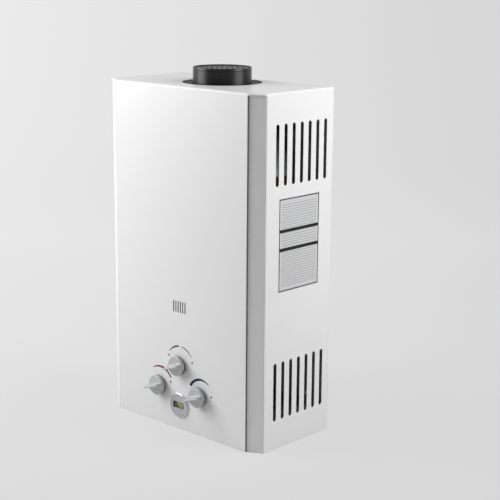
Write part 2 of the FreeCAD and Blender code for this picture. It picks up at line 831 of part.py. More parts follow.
def cell_places():
    return battery_x - cell_radius - 0.6, battery_x + cell_radius + 0.6


def cell_rise():
    return battery_top - battery_wall - 0.3 - cell_radius


def battery_cells():
    """Two D cells, side by side and head to tail."""
    cells = []
    for x, side in zip(cell_places(), (1, -1)):
        half = side * cell_length / 2
        z = cell_rise()
        tip = battery_y + half
        cell = faceted_rod(cell_radius, (x, battery_y - half, z), (x, tip - side * 1.5, z), 24)
        cells.append(cell.fuse(polygon_bar(8, 9, (x, tip - side * 1.5, z), (x, tip, z))))
    return cells


def battery_contacts():
    """Contact plates with raised pads at both ends of the bay."""
    inner = battery_depth / 2 - battery_wall
    gap = inner - cell_length / 2
    z = cell_rise()
    contacts = []
    for side in (-1, 1):
        wall = battery_y + side * inner
        face = wall - side * 0.8
        plate = box(battery_x - 30, battery_x + 30, min(wall, face), max(wall, face), z - 10, z + 10)
        pad = face - side * (gap - 1.0)
        for x in cell_places():
            plate = plate.fuse(box(x - 4, x + 4, min(face, pad), max(face, pad), z - 4, z + 4))
        contacts.append(plate)
    return contacts


def display_sleeve(gap):
    """Half width and half height of the display's sleeve, with a gap added."""
    return screen_width / 2 + 3.5 + gap, screen_height / 2 + 3.5 + gap


def display_bezel():
    """Round bezel with its screen opening and rear sleeve."""
    face = front_y - display_proud
    profile = [(0, 0), (display_radius - 1.5, 0), (display_radius, 1.5), (display_radius, display_proud)]
    bezel = turned(profile + [(0, display_proud)], (0, face, display_rise), Y_AXIS)
    half_w, half_h = display_sleeve(0)
    bezel = bezel.fuse(box(-half_w, half_w, front_y, front_y + 7, screen_rise - half_h, screen_rise + half_h))
    cuts = []
    for inset, start in ((3.5, -1), (1.8, 2)):
        width, height = display_sleeve(-inset)
        cuts.append(box(-width, width, face + start, front_y + 8, screen_rise - height, screen_rise + height))
    return bezel.cut(cuts)


def display_window():
    """Clear pane behind the screen opening."""
    y = front_y - display_proud + 2
    half_w, half_h = display_sleeve(-2)
    return box(-half_w, half_w, y, y + 1.2, screen_rise - half_h, screen_rise + half_h)


def display_board():
    """Circuit board with its digit block."""
    y = front_y - display_proud + 3.5
    half_w, half_h = screen_width / 2, screen_height / 2
    digits = box(-half_w, half_w, y, y + 5, screen_rise - half_h, screen_rise + half_h)
    half_w, half_h = display_sleeve(-2)
    board = box(-half_w, half_w, y + 5, y + 6.6, screen_rise - half_h, screen_rise + half_h)
    return digits.fuse(board)


def knob_places():
    """Knob axes on the front panel: gas, season, water."""
    return [(-knob_spread, knob_rise), (0, season_rise), (knob_spread, knob_rise)]


def knob(place):
    """Round knob with one thin grip that rises across its whole face."""
    face = knob_stand + knob_skirt
    half = grip_width / 2
    side = [(knob_radius, face), (half + 3.2, face + 1.2), (half + 0.6, face + 2.8), (half, face + 6)]
    side += [(half - 0.5, knob_height - 1.4), (half - 1.2, knob_height)]
    outline = [(-y, z) for y, z in side] + side[::-1]
    grip = plate_along_x(outline, -knob_radius, knob_radius)
    grip = grip.common(rod(knob_radius, (0, 0, face), (0, 0, knob_height + 1)))
    skirt = rod(knob_radius, (0, 0, knob_stand), (0, 0, face))
    bore = polygon_bar(16, 2 * spindle_radius + 0.1, (0, 0, 0), (0, 0, knob_bore))
    mark = box(-knob_radius - 1, -knob_radius + 11, -0.5, 0.5, knob_height - 0.7, knob_height + 1)
    body = skirt.fuse(grip).cut([bore, mark]).removeSplitter()
    angle = math.radians(grip_angle)
    along = Vector(math.cos(angle), 0, math.sin(angle))
    across = Vector(-math.sin(angle), 0, math.cos(angle))
    turn = FreeCAD.Rotation(along, across, Vector(0, -1, 0), "ZXY")
    body.Placement = FreeCAD.Placement(Vector(place[0], front_y, place[1]), turn)
    return body


def spindle(place, valve_front, depth):
    """Steel spindle from a valve's boss into its knob."""
    x, z = place
    return faceted_rod(spindle_radius, (x, front_y - knob_bore + 0.5, z), (x, valve_front + depth, z), 16)


def exchanger_brackets():
    """Folded brackets from the back plate to the burner and exchanger stack."""
    brackets = []
    t = 1.5
    near, far = stack_back, back_inner
    for base in (tray_base + 14, tube_rise - 13):
        top = base + 26
        outline = [(near, base), (near + t, base), (near + t, top - t), (far - t, top - t), (far - t, base)]
        outline += [(far, base), (far, top), (near, top)]
        for x in (-85, 85):
            brackets.append(plate_along_x(outline, x - 15, x + 15))
    return brackets


def export(node, shape):
    solids = shape if isinstance(shape, list) else [shape]
    flat = [solid for piece in solids for solid in piece.Solids]
    whole = flat[0] if len(flat) == 1 else Part.makeCompound(flat)
    whole.exportStep("parts/" + node + ".step")
    print(node, len(flat), "solids", round(whole.Volume / 1000, 2), "cm3", whole.isValid())


def main():
    os.makedirs("parts", exist_ok=True)
    fittings = fitting_places()
    gas_place, season_place, water_place = knob_places()
    valve_front = valve_y - 36
    season_front = manifold_back() - 28
    nodes = {
        "front_cover": front_cover(),
        "back_plate": back_plate(),
        "bottom_plate": bottom_plate(),
        "flue_collar": flue_collar(),
        "flue_grille": flue_grille(),
        "flue_trim_plate": flue_trim_plate(),
        "exhaust_hood": exhaust_hood(),
        "exchanger_shell": exchanger_shell(),
        "exchanger_fins": exchanger_fins(),
        "exchanger_tubes": exchanger_tubes(),
        "combustion_chamber": combustion_chamber(),
        "wrap_tube": wrap_tube(),
        "burner_tray": burner_tray(),
        "burner_blades": burner_blades(),
        "gas_manifold": gas_manifold(),
        "gas_nozzles": gas_nozzles(),
        "season_valve": season_valve(),
        "gas_valve": gas_valve(),
        "gas_solenoid": gas_solenoid(),
        "gas_feed_pipe": gas_feed_pipe(),
        "gas_inlet_fitting": threaded_fitting(fittings["gas"], 6),
        "cold_inlet_fitting": threaded_fitting(fittings["cold"], 6),
        "hot_outlet_fitting": threaded_fitting(fittings["hot"], 6),
        "water_valve": water_valve(),
        "diaphragm_cover": diaphragm_cover(),
        "push_rod": push_rod(),
        "microswitch": microswitch(),
        "switch_bracket": switch_bracket(),
        "switch_lever": switch_lever(),
        "cold_feed_pipe": cold_feed_pipe(),
        "hot_outlet_pipe": hot_outlet_pipe(),
        "relief_valve": relief_valve(),
        "relief_knob": relief_knob(),
        "ignition_electrode": electrode(electrode_places()[0]),
        "flame_sensor": electrode(electrode_places()[1]),
        "electrode_clamps": electrode_clamps(),
        "sight_glass": sight_glass(),
        "overheat_switch": overheat_switch(),
        "temperature_probe": temperature_probe(),
        "control_box": control_box(),
        "control_lid": control_lid(),
        "battery_box": battery_box(),
        "battery_lid": battery_lid(),
        "lid_pin": lid_pin(),
        "battery_cells": battery_cells(),
        "battery_contacts": battery_contacts(),
        "display_bezel": display_bezel(),
        "display_window": display_window(),
        "display_board": display_board(),
        "gas_knob": knob(gas_place),
        "season_knob": knob(season_place),
        "water_knob": knob(water_place),
        "gas_spindle": spindle(gas_place, valve_front, 20),
        "season_spindle": spindle(season_place, season_front, 18),
        "water_spindle": spindle(water_place, valve_front, 20),
        "exchanger_brackets": exchanger_brackets(),
    }
    for node, shape in nodes.items():
        export(node, shape)


main()
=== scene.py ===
import bpy
import math
from mathutils import Matrix, Vector


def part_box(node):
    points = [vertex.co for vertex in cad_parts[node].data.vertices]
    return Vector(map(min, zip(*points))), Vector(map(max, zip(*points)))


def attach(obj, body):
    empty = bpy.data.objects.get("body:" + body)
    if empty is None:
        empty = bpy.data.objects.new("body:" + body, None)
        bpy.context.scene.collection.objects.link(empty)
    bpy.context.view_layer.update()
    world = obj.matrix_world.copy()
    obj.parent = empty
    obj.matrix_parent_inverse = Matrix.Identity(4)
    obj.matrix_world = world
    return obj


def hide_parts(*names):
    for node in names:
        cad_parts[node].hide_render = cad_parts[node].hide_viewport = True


bl_info = {
    "name": "Gas water heater",
    "version": (1, 0, 0),
    "blender": (4, 5, 0),
    "location": "3D View > Sidebar > Heater",
    "description": "Finishes and small pieces of an upright gas water heater",
    "category": "Object",
}

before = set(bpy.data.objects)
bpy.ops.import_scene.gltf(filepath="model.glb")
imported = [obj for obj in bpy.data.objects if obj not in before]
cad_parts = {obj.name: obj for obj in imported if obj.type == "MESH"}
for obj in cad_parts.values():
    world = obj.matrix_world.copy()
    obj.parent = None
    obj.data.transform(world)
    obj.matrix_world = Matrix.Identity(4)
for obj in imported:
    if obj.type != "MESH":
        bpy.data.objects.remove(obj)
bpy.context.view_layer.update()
MM = 0.001


def low(node):
    """Lowest corner of a CAD node's box."""
    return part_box(node)[0]


def high(node):
    """Highest corner of a CAD node's box."""
    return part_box(node)[1]


FRONT = low("front_cover").y
SIDE = high("front_cover").x
TOP = high("front_cover").z
FLUE_Y = (low("flue_grille").y + high("flue_grille").y) / 2
FLUE_RADIUS = 54.6 * MM

# Knob places, then the sizes of a knob in mm
KNOB_SPREAD = 54 * MM
KNOB_RISE = 77 * MM
SEASON_RISE = 126.5 * MM
KNOBS = {"gas_knob": (-KNOB_SPREAD, KNOB_RISE), "season_knob": (0.0, SEASON_RISE),
         "water_knob": (KNOB_SPREAD, KNOB_RISE)}
KNOB_RADIUS = 19.0
KNOB_SKIRT = 4.5
KNOB_EDGE = 1.2
KNOB_EDGE_DROP = 1.1
GRIP_ANGLE = math.radians(18)

# Side vents
VENT_WIDTH = 8 * MM
VENT_HEIGHT = 109.5 * MM
VENT_PITCH = 21.35 * MM
VENT_FIRST = 46 * MM
VENT_COUNT = 7
LOWER_VENT_BASE = 54 * MM
UPPER_VENT_DROP = 164.5 * MM

# Round display
DISPLAY_RISE = 47.5 * MM
SCREEN_RISE = 48.5 * MM
FACE_RADIUS = 20.5 * MM
RING_RADIUS = 21.2 * MM

# Camera
SENSOR_WIDTH = 36.0
FOCAL_PIXELS = 1284.2
PICTURE_PIXELS = 500
CAMERA_AIM = Vector((0.0875, 0.0, 0.3470))


class CaseFinish(bpy.types.PropertyGroup):
    coat_colour: bpy.props.FloatVectorProperty(
        name="Coat colour", description="Colour of the powder coat", subtype="COLOR",
        default=(0.86, 0.86, 0.86))
    coat_roughness: bpy.props.FloatProperty(
        name="Coat roughness", description="Sheen of the powder coat", subtype="FACTOR", default=0.38)
    edge_round: bpy.props.FloatProperty(
        name="Edge rounding", description="Radius of the shaded edge", subtype="DISTANCE", unit="LENGTH",
        default=0.0012)


class LabelPrint(bpy.types.PropertyGroup):
    near: bpy.props.FloatProperty(
        name="Front edge", description="Y of the label's front edge", subtype="DISTANCE", unit="LENGTH",
        default=-0.0459)
    far: bpy.props.FloatProperty(
        name="Rear edge", description="Y of the label's rear edge", subtype="DISTANCE", unit="LENGTH",
        default=0.0628)
    bottom: bpy.props.FloatProperty(
        name="Lower edge", description="Height of the label's lower edge", subtype="DISTANCE", unit="LENGTH",
        default=0.2933)
    top: bpy.props.FloatProperty(
        name="Upper edge", description="Height of the label's upper edge", subtype="DISTANCE", unit="LENGTH",
        default=0.4632)


class DialPrint(bpy.types.PropertyGroup):
    lift: bpy.props.FloatProperty(
        name="Ink thickness", description="Thickness of the print", subtype="DISTANCE", unit="LENGTH",
        default=0.00008)


class DisplayReading(bpy.types.PropertyGroup):
    number: bpy.props.IntProperty(name="Reading", description="Temperature shown", default=42, min=0, max=99)
    digit_height: bpy.props.FloatProperty(
        name="Digit height", description="Height of the digits", subtype="DISTANCE", unit="LENGTH",
        default=0.0104)


class StageSetup(bpy.types.PropertyGroup):
    distance: bpy.props.FloatProperty(
        name="Camera distance", description="Camera to its aim point", subtype="DISTANCE", unit="LENGTH",
        default=2.3774)
    azimuth: bpy.props.FloatProperty(
        name="Azimuth", description="Camera angle round the heater", subtype="ANGLE", unit="ROTATION",
        default=math.radians(43.05))
    elevation: bpy.props.FloatProperty(
        name="Elevation", description="Camera angle above level", subtype="ANGLE", unit="ROTATION",
        default=math.radians(12.87))
    roll: bpy.props.FloatProperty(
        name="Roll", description="Camera roll", subtype="ANGLE", unit="ROTATION", default=math.radians(0.44))
    key_power: bpy.props.FloatProperty(
        name="Front light", description="Power of the front light", subtype="POWER", unit="POWER",
        default=19.8)
    side_power: bpy.props.FloatProperty(
        name="Side light", description="Power of the side light", subtype="POWER", unit="POWER", default=15.0)
    top_power: bpy.props.FloatProperty(
        name="Top light", description="Power of the light overhead", subtype="POWER", unit="POWER",
        default=1.5)


def settings():
    """The heater's settings in this scene."""
    return bpy.context.scene.heater


class HeaterSettings(bpy.types.PropertyGroup):
    case: bpy.props.PointerProperty(name="Case", description="Finish of the case", type=CaseFinish)
    label: bpy.props.PointerProperty(name="Label", description="Place of the side label", type=LabelPrint)
    dials: bpy.props.PointerProperty(name="Dials", description="Print round the knobs", type=DialPrint)
    display: bpy.props.PointerProperty(
        name="Display", description="What the screen shows", type=DisplayReading)
    stage: bpy.props.PointerProperty(name="Stage", description="Camera and lights", type=StageSetup)


class Graph:
    """Short way to add and link nodes in one node tree."""

    MIX_FIRST, MIX_SECOND, MIX_COLOUR = 6, 7, 2

    def __init__(self, tree):
        self.tree = tree

    def node(self, kind, inputs=None, **attributes):
        made = self.tree.nodes.new(kind)
        for key, value in attributes.items():
            setattr(made, key, value)
        for key, value in (inputs or {}).items():
            self.feed(made.inputs[key], value)
        return made

    def feed(self, socket, value):
        if isinstance(value, bpy.types.NodeSocket):
            self.tree.links.new(value, socket)
        elif isinstance(value, (tuple, list)) and len(value) == 3 and socket.type == "RGBA":
            socket.default_value = (*value, 1.0)
        else:
            socket.default_value = value

    def math(self, operation, first, second=0.0):
        made = self.node("ShaderNodeMath", operation=operation)
        self.feed(made.inputs[0], first)
        self.feed(made.inputs[1], second)
        return made.outputs[0]

    def mix(self, share, first, second):
        made = self.node("ShaderNodeMix", data_type="RGBA")
        self.feed(made.inputs["Factor"], share)
        self.feed(made.inputs[self.MIX_FIRST], first)
        self.feed(made.inputs[self.MIX_SECOND], second)
        return made.outputs[self.MIX_COLOUR]

    def spread(self, value, start, end):
        made = self.node("ShaderNodeMapRange", {"Value": value, "To Min": start, "To Max": end})
        return made.outputs["Result"]

    def between(self, value, start, end):
        above = self.math("GREATER_THAN", value, start)
        below = self.math("LESS_THAN", value, end)
        return self.math("MULTIPLY", above, below)

    def axes(self):
        """X, Y and Z of the point being shaded, in the object's own frame."""
        place = self.node("ShaderNodeTexCoord").outputs["Object"]
        split = self.node("ShaderNodeSeparateXYZ", {"Vector": place})
        return [split.outputs[axis] for axis in "XYZ"]


def new_group(name, inputs, outputs):
    """Empty node group with its sockets, its graph and its input node."""
    tree = bpy.data.node_groups.new(name, "ShaderNodeTree")
    for label, kind, default in inputs:
        socket = tree.interface.new_socket(label, in_out="INPUT", socket_type=kind)
        if default is not None:
            socket.default_value = default
    for label, kind in outputs:
        tree.interface.new_socket(label, in_out="OUTPUT", socket_type=kind)
    graph = Graph(tree)
    return tree, graph, graph.node("NodeGroupInput"), graph.node("NodeGroupOutput")


def grain_group():
    """Mottled colour, uneven gloss and a fine bump, stretched along any axis."""
    tree, g, given, out = new_group(
        "surface_grain",
        [("Colour", "NodeSocketColor", (0.5, 0.5, 0.5, 1)), ("Tint", "NodeSocketColor", (0.4, 0.4, 0.4, 1)),
         ("Mottle", "NodeSocketFloat", 0.2), ("Mottle Scale", "NodeSocketFloat", 20.0),
         ("Grain Scale", "NodeSocketVector", (900, 900, 900)), ("Gloss Low", "NodeSocketFloat", 0.3),
         ("Gloss High", "NodeSocketFloat", 0.5), ("Bump", "NodeSocketFloat", 0.1),
         ("Normal", "NodeSocketVector", (0, 0, 0))],
        [("Colour", "NodeSocketColor"), ("Roughness", "NodeSocketFloat"), ("Normal", "NodeSocketVector")])
    place = g.node("ShaderNodeTexCoord").outputs["Object"]
    cloud = g.node("ShaderNodeTexNoise", {
        "Vector": place, "Scale": given.outputs["Mottle Scale"], "Detail": 4.0})
    stretched = g.node("ShaderNodeVectorMath", operation="MULTIPLY")
    g.feed(stretched.inputs[0], place)
    g.feed(stretched.inputs[1], given.outputs["Grain Scale"])
    grain = g.node("ShaderNodeTexNoise", {"Vector": stretched.outputs[0], "Scale": 1.0, "Detail": 3.0})
    share = g.math("MULTIPLY", cloud.outputs["Fac"], given.outputs["Mottle"])
    speck = g.math("MULTIPLY", g.math("SUBTRACT", grain.outputs["Fac"], 0.5), given.outputs["Mottle"])
    colour = g.mix(g.math("ADD", share, speck), given.outputs["Colour"], given.outputs["Tint"])
    gloss = g.node("ShaderNodeMapRange", {
        "Value": grain.outputs["Fac"], "From Min": 0.3, "From Max": 0.7,
        "To Min": given.outputs["Gloss Low"], "To Max": given.outputs["Gloss High"]})
    bump = g.node("ShaderNodeBump", {
        "Strength": given.outputs["Bump"], "Distance": 0.2 * MM,
        "Height": grain.outputs["Fac"], "Normal": given.outputs["Normal"]})
    g.feed(out.inputs["Colour"], colour)
    g.feed(out.inputs["Roughness"], gloss.outputs["Result"])
    g.feed(out.inputs["Normal"], bump.outputs["Normal"])
    return tree


def spangle_group():
    """Crystal spangle of hot-dipped zinc."""
    tree, g, given, out = new_group(
        "zinc_spangle",
        [("Light", "NodeSocketColor", (0.7, 0.72, 0.74, 1)),
         ("Dark", "NodeSocketColor", (0.5, 0.52, 0.55, 1)), ("Scale", "NodeSocketFloat", 90.0)],
        [("Colour", "NodeSocketColor"), ("Roughness", "NodeSocketFloat")])
    place = g.node("ShaderNodeTexCoord").outputs["Object"]
    cells = g.node("ShaderNodeTexVoronoi", {"Vector": place, "Scale": given.outputs["Scale"]})
    shade = g.node("ShaderNodeSeparateColor", {"Color": cells.outputs["Color"]}).outputs["Red"]
    g.feed(out.inputs["Colour"], g.mix(shade, given.outputs["Light"], given.outputs["Dark"]))
    g.feed(out.inputs["Roughness"], g.spread(shade, 0.32, 0.5))
    return tree


def label_group():
    """Mask of a plain bordered label with dividing bars and faint ruled lines."""
    tree, g, given, out = new_group(
        "ruled_label",
        [("Side", "NodeSocketFloat", SIDE), ("Near", "NodeSocketFloat", 0.0), ("Far", "NodeSocketFloat", 0.1),
         ("Bottom", "NodeSocketFloat", 0.0), ("Top", "NodeSocketFloat", 0.1)],
        [("Paper", "NodeSocketFloat"), ("Ink", "NodeSocketFloat"), ("Faint Ink", "NodeSocketFloat")])
    border_start, border_end, rule_margin = 1.0 * MM, 3.0 * MM, 7.5 * MM
    upper_bar, lower_bar = (0.4014, 0.4073), (0.3673, 0.3733)
    rule_pitch, rule_share = 4.6 * MM, 0.32
    x, y, z = g.axes()
    on_side = g.math("GREATER_THAN", x, g.math("SUBTRACT", given.outputs["Side"], 0.3 * MM))

    def inset(amount):
        across = g.between(y, g.math("ADD", given.outputs["Near"], amount),
                           g.math("SUBTRACT", given.outputs["Far"], amount))
        upright = g.between(z, g.math("ADD", given.outputs["Bottom"], amount),
                            g.math("SUBTRACT", given.outputs["Top"], amount))
        return g.math("MULTIPLY", across, upright)

    paper = g.math("MULTIPLY", inset(0.0), on_side)
    border = g.math("SUBTRACT", inset(border_start), inset(border_end))
    bars = g.math("MULTIPLY", g.math("ADD", g.between(z, *upper_bar), g.between(z, *lower_bar)),
                  inset(border_end))
    ink = g.math("MULTIPLY", g.math("MINIMUM", g.math("ADD", border, bars), 1.0), on_side)
    row = g.math("FRACT", g.math("DIVIDE", z, rule_pitch))
    rules = g.math("MULTIPLY", inset(rule_margin), on_side)
    lines = g.math("MULTIPLY", g.math("LESS_THAN", row, rule_share), rules)
    g.feed(out.inputs["Paper"], paper)
    g.feed(out.inputs["Ink"], ink)
    g.feed(out.inputs["Faint Ink"], lines)
    return tree


def thread_group():
    """Bump of a cut pipe thread between two heights."""
    tree, g, given, out = new_group(
        "pipe_thread", [("Bottom", "NodeSocketFloat", 0.0), ("Top", "NodeSocketFloat", 0.1),
                        ("Pitch", "NodeSocketFloat", 0.0018)], [("Height", "NodeSocketFloat")])
    _, _, z = g.axes()
    ridge = g.math("PINGPONG", g.math("DIVIDE", z, given.outputs["Pitch"]), 0.5)
    cut = g.between(z, given.outputs["Bottom"], given.outputs["Top"])
    g.feed(out.inputs["Height"], g.math("MULTIPLY", ridge, cut))
    return tree


GROUPS = {}


def group_node(graph, name, values):
    """Adds a shared group, which is made the first time that it is asked for."""
    makers = {"surface_grain": grain_group, "zinc_spangle": spangle_group, "ruled_label": label_group,
              "pipe_thread": thread_group}
    if name not in GROUPS:
        GROUPS[name] = makers[name]()
    made = graph.node("ShaderNodeGroup")
    made.node_tree = GROUPS[name]
    for key, value in values.items():
        graph.feed(made.inputs[key], value)
    return made


def blank_material(name):
    """New material with its graph and its shader."""
    material = bpy.data.materials.new(name)
    material.use_nodes = True
    material.node_tree.nodes.clear()
    graph = Graph(material.node_tree)
    shader = graph.node("ShaderNodeBsdfPrincipled")
    graph.node("ShaderNodeOutputMaterial", {"Surface": shader.outputs[0]})
    return material, graph, shader


SOFT_EDGE = 0.4 * MM


def grained(name, colour, tint, mottle=0.25, cloud=20.0, grain=(900, 900, 900), gloss=(0.35, 0.5), bump=0.1,
            **shader_values):
    """Material whose colour, gloss and bump come from the shared grain."""
    material, graph, shader = blank_material(name)
    soft = graph.node("ShaderNodeBevel", {"Radius": SOFT_EDGE}, samples=4)
    look = group_node(graph, "surface_grain", {
        "Colour": colour, "Tint": tint, "Mottle": mottle, "Mottle Scale": cloud, "Grain Scale": grain,
        "Gloss Low": gloss[0], "Gloss High": gloss[1], "Bump": bump, "Normal": soft.outputs["Normal"]})
    graph.feed(shader.inputs["Base Color"], look.outputs["Colour"])
    graph.feed(shader.inputs["Roughness"], look.outputs["Roughness"])
    graph.feed(shader.inputs["Normal"], look.outputs["Normal"])
    for key, value in shader_values.items():
        graph.feed(shader.inputs[key.replace("_", " ")], value)
    return material


def dress(nodes, material):
    """Gives CAD nodes or new pieces one material."""
    for name in nodes:
        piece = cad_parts.get(name) or bpy.data.objects[name]
        piece.data.materials.clear()
        piece.data.materials.append(material)


BLOCK_FACES = [(0, 2, 3, 1), (4, 5, 7, 6), (0, 1, 5, 4), (2, 6, 7, 3), (0, 4, 6, 2), (1, 3, 7, 5)]


def add_piece(name, points, faces, material, body, smooth=True):
    """Mesh piece that rides on a CAD body."""
    mesh = bpy.data.meshes.new(name)
    mesh.from_pydata([tuple(point) for point in points], [], faces)
    mesh.validate()
    if smooth:
        mesh.polygons.foreach_set("use_smooth", [True] * len(mesh.polygons))
    mesh.materials.append(material)
    piece = bpy.data.objects.new(name, mesh)
    bpy.context.scene.collection.objects.link(piece)
    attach(piece, body)
    return piece


def crease(piece, angle):
    """Keeps edges sharper than the angle crisp under smooth shading."""
    mesh = piece.data
    mesh.update()
    normals = [polygon.normal.copy() for polygon in mesh.polygons]
    sides = {}
    for polygon in mesh.polygons:
        for key in polygon.edge_keys:
            sides.setdefault(key, []).append(polygon.index)
    sharp = []
    for edge in mesh.edges:
        pair = sides.get(tuple(sorted(edge.vertices)), [])
        sharp.append(len(pair) == 2 and normals[pair[0]].angle(normals[pair[1]], 0) > angle)
    for edge, is_sharp in zip(mesh.edges, sharp):
        edge.use_edge_sharp = is_sharp


def lathe(profile, centre, axis, steps=96):
    """Points and faces of a closed profile of (radius, height) turned about an axis."""
    turn = Vector((0, 0, 1)).rotation_difference(Vector(axis)).to_matrix()
    points, faces = [], []
    count = len(profile)
    for step in range(steps):
        angle = 2 * math.pi * step / steps
        for radius, height in profile:
            local = Vector((radius * math.cos(angle), radius * math.sin(angle), height))
            points.append(Vector(centre) + turn @ local)
    for step in range(steps):
        ahead = (step + 1) % steps
        for index in range(count):
            after = (index + 1) % count
            faces.append((step * count + index, ahead * count + index,
                          ahead * count + after, step * count + after))
    return points, faces


PRINT_FOOT = 0.01 * MM


def ring_strip(centre, radius, start, end, half_width, lift, steps=48):
    """Thin printed arc on the front panel; half_width is a function of 0 to 1 along it."""
    points, faces = [], []
    for step in range(steps + 1):
        share = step / steps
        angle = start + (end - start) * share
        half = half_width(share)
        for depth in (PRINT_FOOT, lift):
            for reach in (radius - half, radius + half):
                points.append((centre[0] + reach * math.cos(angle), FRONT - depth,
                               centre[1] + reach * math.sin(angle)))
    for step in range(steps):
        a, b = 4 * step, 4 * step + 4
        faces += [(a, a + 1, b + 1, b), (a + 2, b + 2, b + 3, a + 3), (a, b, b + 2, a + 2),
                  (a + 1, a + 3, b + 3, b + 1)]
    faces += [(0, 2, 3, 1), (4 * steps, 4 * steps + 1, 4 * steps + 3, 4 * steps + 2)]
    return points, faces


def join(shapes):
    """One list of points and faces from several."""
    points, faces = [], []
    for more_points, more_faces in shapes:
        base = len(points)
        points += list(more_points)
        faces += [tuple(base + index for index in face) for face in more_faces]
    return points, faces


def block(corner, far):
    """Points and faces of a box between two corners."""
    xs, ys, zs = zip(corner, far)
    return [(x, y, z) for z in zs for y in ys for x in xs], BLOCK_FACES


class HEATER_OT_case(bpy.types.Operator):
    """White powder coat with its plain side label, painted shade in its slots and seams, and the white back.
    """
    bl_idname = "heater.case"
    bl_label = "Case finish"

    def execute(self, context):
        dress(["front_cover"], self.powder_coat())
        dress(["back_plate"], grained("back_coat", (0.80, 0.80, 0.80), (0.70, 0.70, 0.71), gloss=(0.4, 0.55)))
        # Near-black strips laid in the panel seams are painted shade in the grooves.
        shade = grained("seam_shade", (0.10, 0.10, 0.102), (0.08, 0.08, 0.082), gloss=(0.6, 0.7))
        points, faces = self.seam_shade_strips()
        add_piece("seam_shade_strips", points, faces, shade, "case", smooth=False)
        return {"FINISHED"}

    def powder_coat(self):
        """Coat of the cover, with the label's print on one side and near-black painted shade on its slots and
        inner faces.
        """
        case, label = settings().case, settings().label
        material, graph, shader = blank_material("powder_coat")
        soft = graph.node("ShaderNodeBevel", {"Radius": case.edge_round}, samples=6)
        look = group_node(graph, "surface_grain", {
            "Colour": tuple(case.coat_colour), "Tint": (0.80, 0.80, 0.81), "Mottle": 0.10,
            "Mottle Scale": 6.0, "Grain Scale": (1100, 1100, 1100), "Gloss Low": case.coat_roughness - 0.05,
            "Gloss High": case.coat_roughness + 0.06, "Bump": 0.03, "Normal": soft.outputs["Normal"]})
        printed = group_node(graph, "ruled_label", {
            "Side": SIDE, "Near": label.near, "Far": label.far, "Bottom": label.bottom, "Top": label.top})
        colour = graph.mix(printed.outputs["Paper"], look.outputs["Colour"], (0.66, 0.66, 0.67))
        faint = graph.math("MULTIPLY", printed.outputs["Faint Ink"], 0.55)
        colour = graph.mix(faint, colour, (0.20, 0.20, 0.21))
        colour = graph.mix(printed.outputs["Ink"], colour, (0.004, 0.004, 0.0045))
        # Painted shade: the cover's inner faces and slot walls are coloured near-black.
        shade_mask = self.painted_shade_faces(graph)
        colour = graph.mix(shade_mask, colour, (0.008, 0.008, 0.009))
        ink_and_shade = graph.math("MAXIMUM", printed.outputs["Ink"], shade_mask)
        dull = graph.node("ShaderNodeMix", {"Factor": ink_and_shade, "A": look.outputs["Roughness"], "B": 0.85})
        lacquer = graph.math("MULTIPLY", graph.math("SUBTRACT", 1.0, ink_and_shade), 0.15)
        graph.feed(shader.inputs["Base Color"], colour)
        graph.feed(shader.inputs["Roughness"], dull.outputs["Result"])
        graph.feed(shader.inputs["Coat Weight"], lacquer)
        graph.feed(shader.inputs["Normal"], look.outputs["Normal"])
        shader.inputs["Coat Roughness"].default_value = 0.12
        return material

    def painted_shade_faces(self, graph):
        """Mask of painted shade: the cover's inner faces and the walls of its slots, painted near-black where
        shade falls.
        """
        skin, lip_depth = 1.1 * MM, 17.2 * MM
        window_reach, window_low, window_high = 17.2 * MM, 228 * MM, 251 * MM
        x, y, z = graph.axes()
        reach = graph.math("ABSOLUTE", x)
        inner = graph.math("LESS_THAN", reach, SIDE - skin)
        inner = graph.math("MULTIPLY", inner, graph.math("GREATER_THAN", y, FRONT + lip_depth))
        inner = graph.math("MULTIPLY", inner, graph.math("LESS_THAN", z, TOP - skin))
        window = graph.math("LESS_THAN", reach, window_reach)
        window = graph.math("MULTIPLY", window, graph.between(z, window_low, window_high))
        window = graph.math("MULTIPLY", window, graph.between(y, FRONT + 0.1 * MM, FRONT + 3.0 * MM))
        vents = graph.between(reach, SIDE - 2.5 * MM, SIDE - 0.3 * MM)
        vents = graph.math("MULTIPLY", vents, graph.between(y, FRONT + 40 * MM, FRONT + 190 * MM))
        vents = graph.math("MULTIPLY", vents, graph.math("LESS_THAN", z, TOP - 50 * MM))
        return graph.math("MINIMUM", graph.math("ADD", graph.math("ADD", inner, window), vents), 1.0)

    def seam_shade_strips(self):
        """Dark strips in the two seams beside the front panel, painted shade in the grooves."""
        near, far, rise, drop = 170.52 * MM, 171.9 * MM, 0.3 * MM, 5.2 * MM
        shapes = []
        for side in (-1, 1):
            left, right = sorted((side * near, side * far))
            shapes.append(block((left, FRONT + 0.9 * MM, rise), (right, FRONT + 2.3 * MM, TOP - drop)))
        return join(shapes)


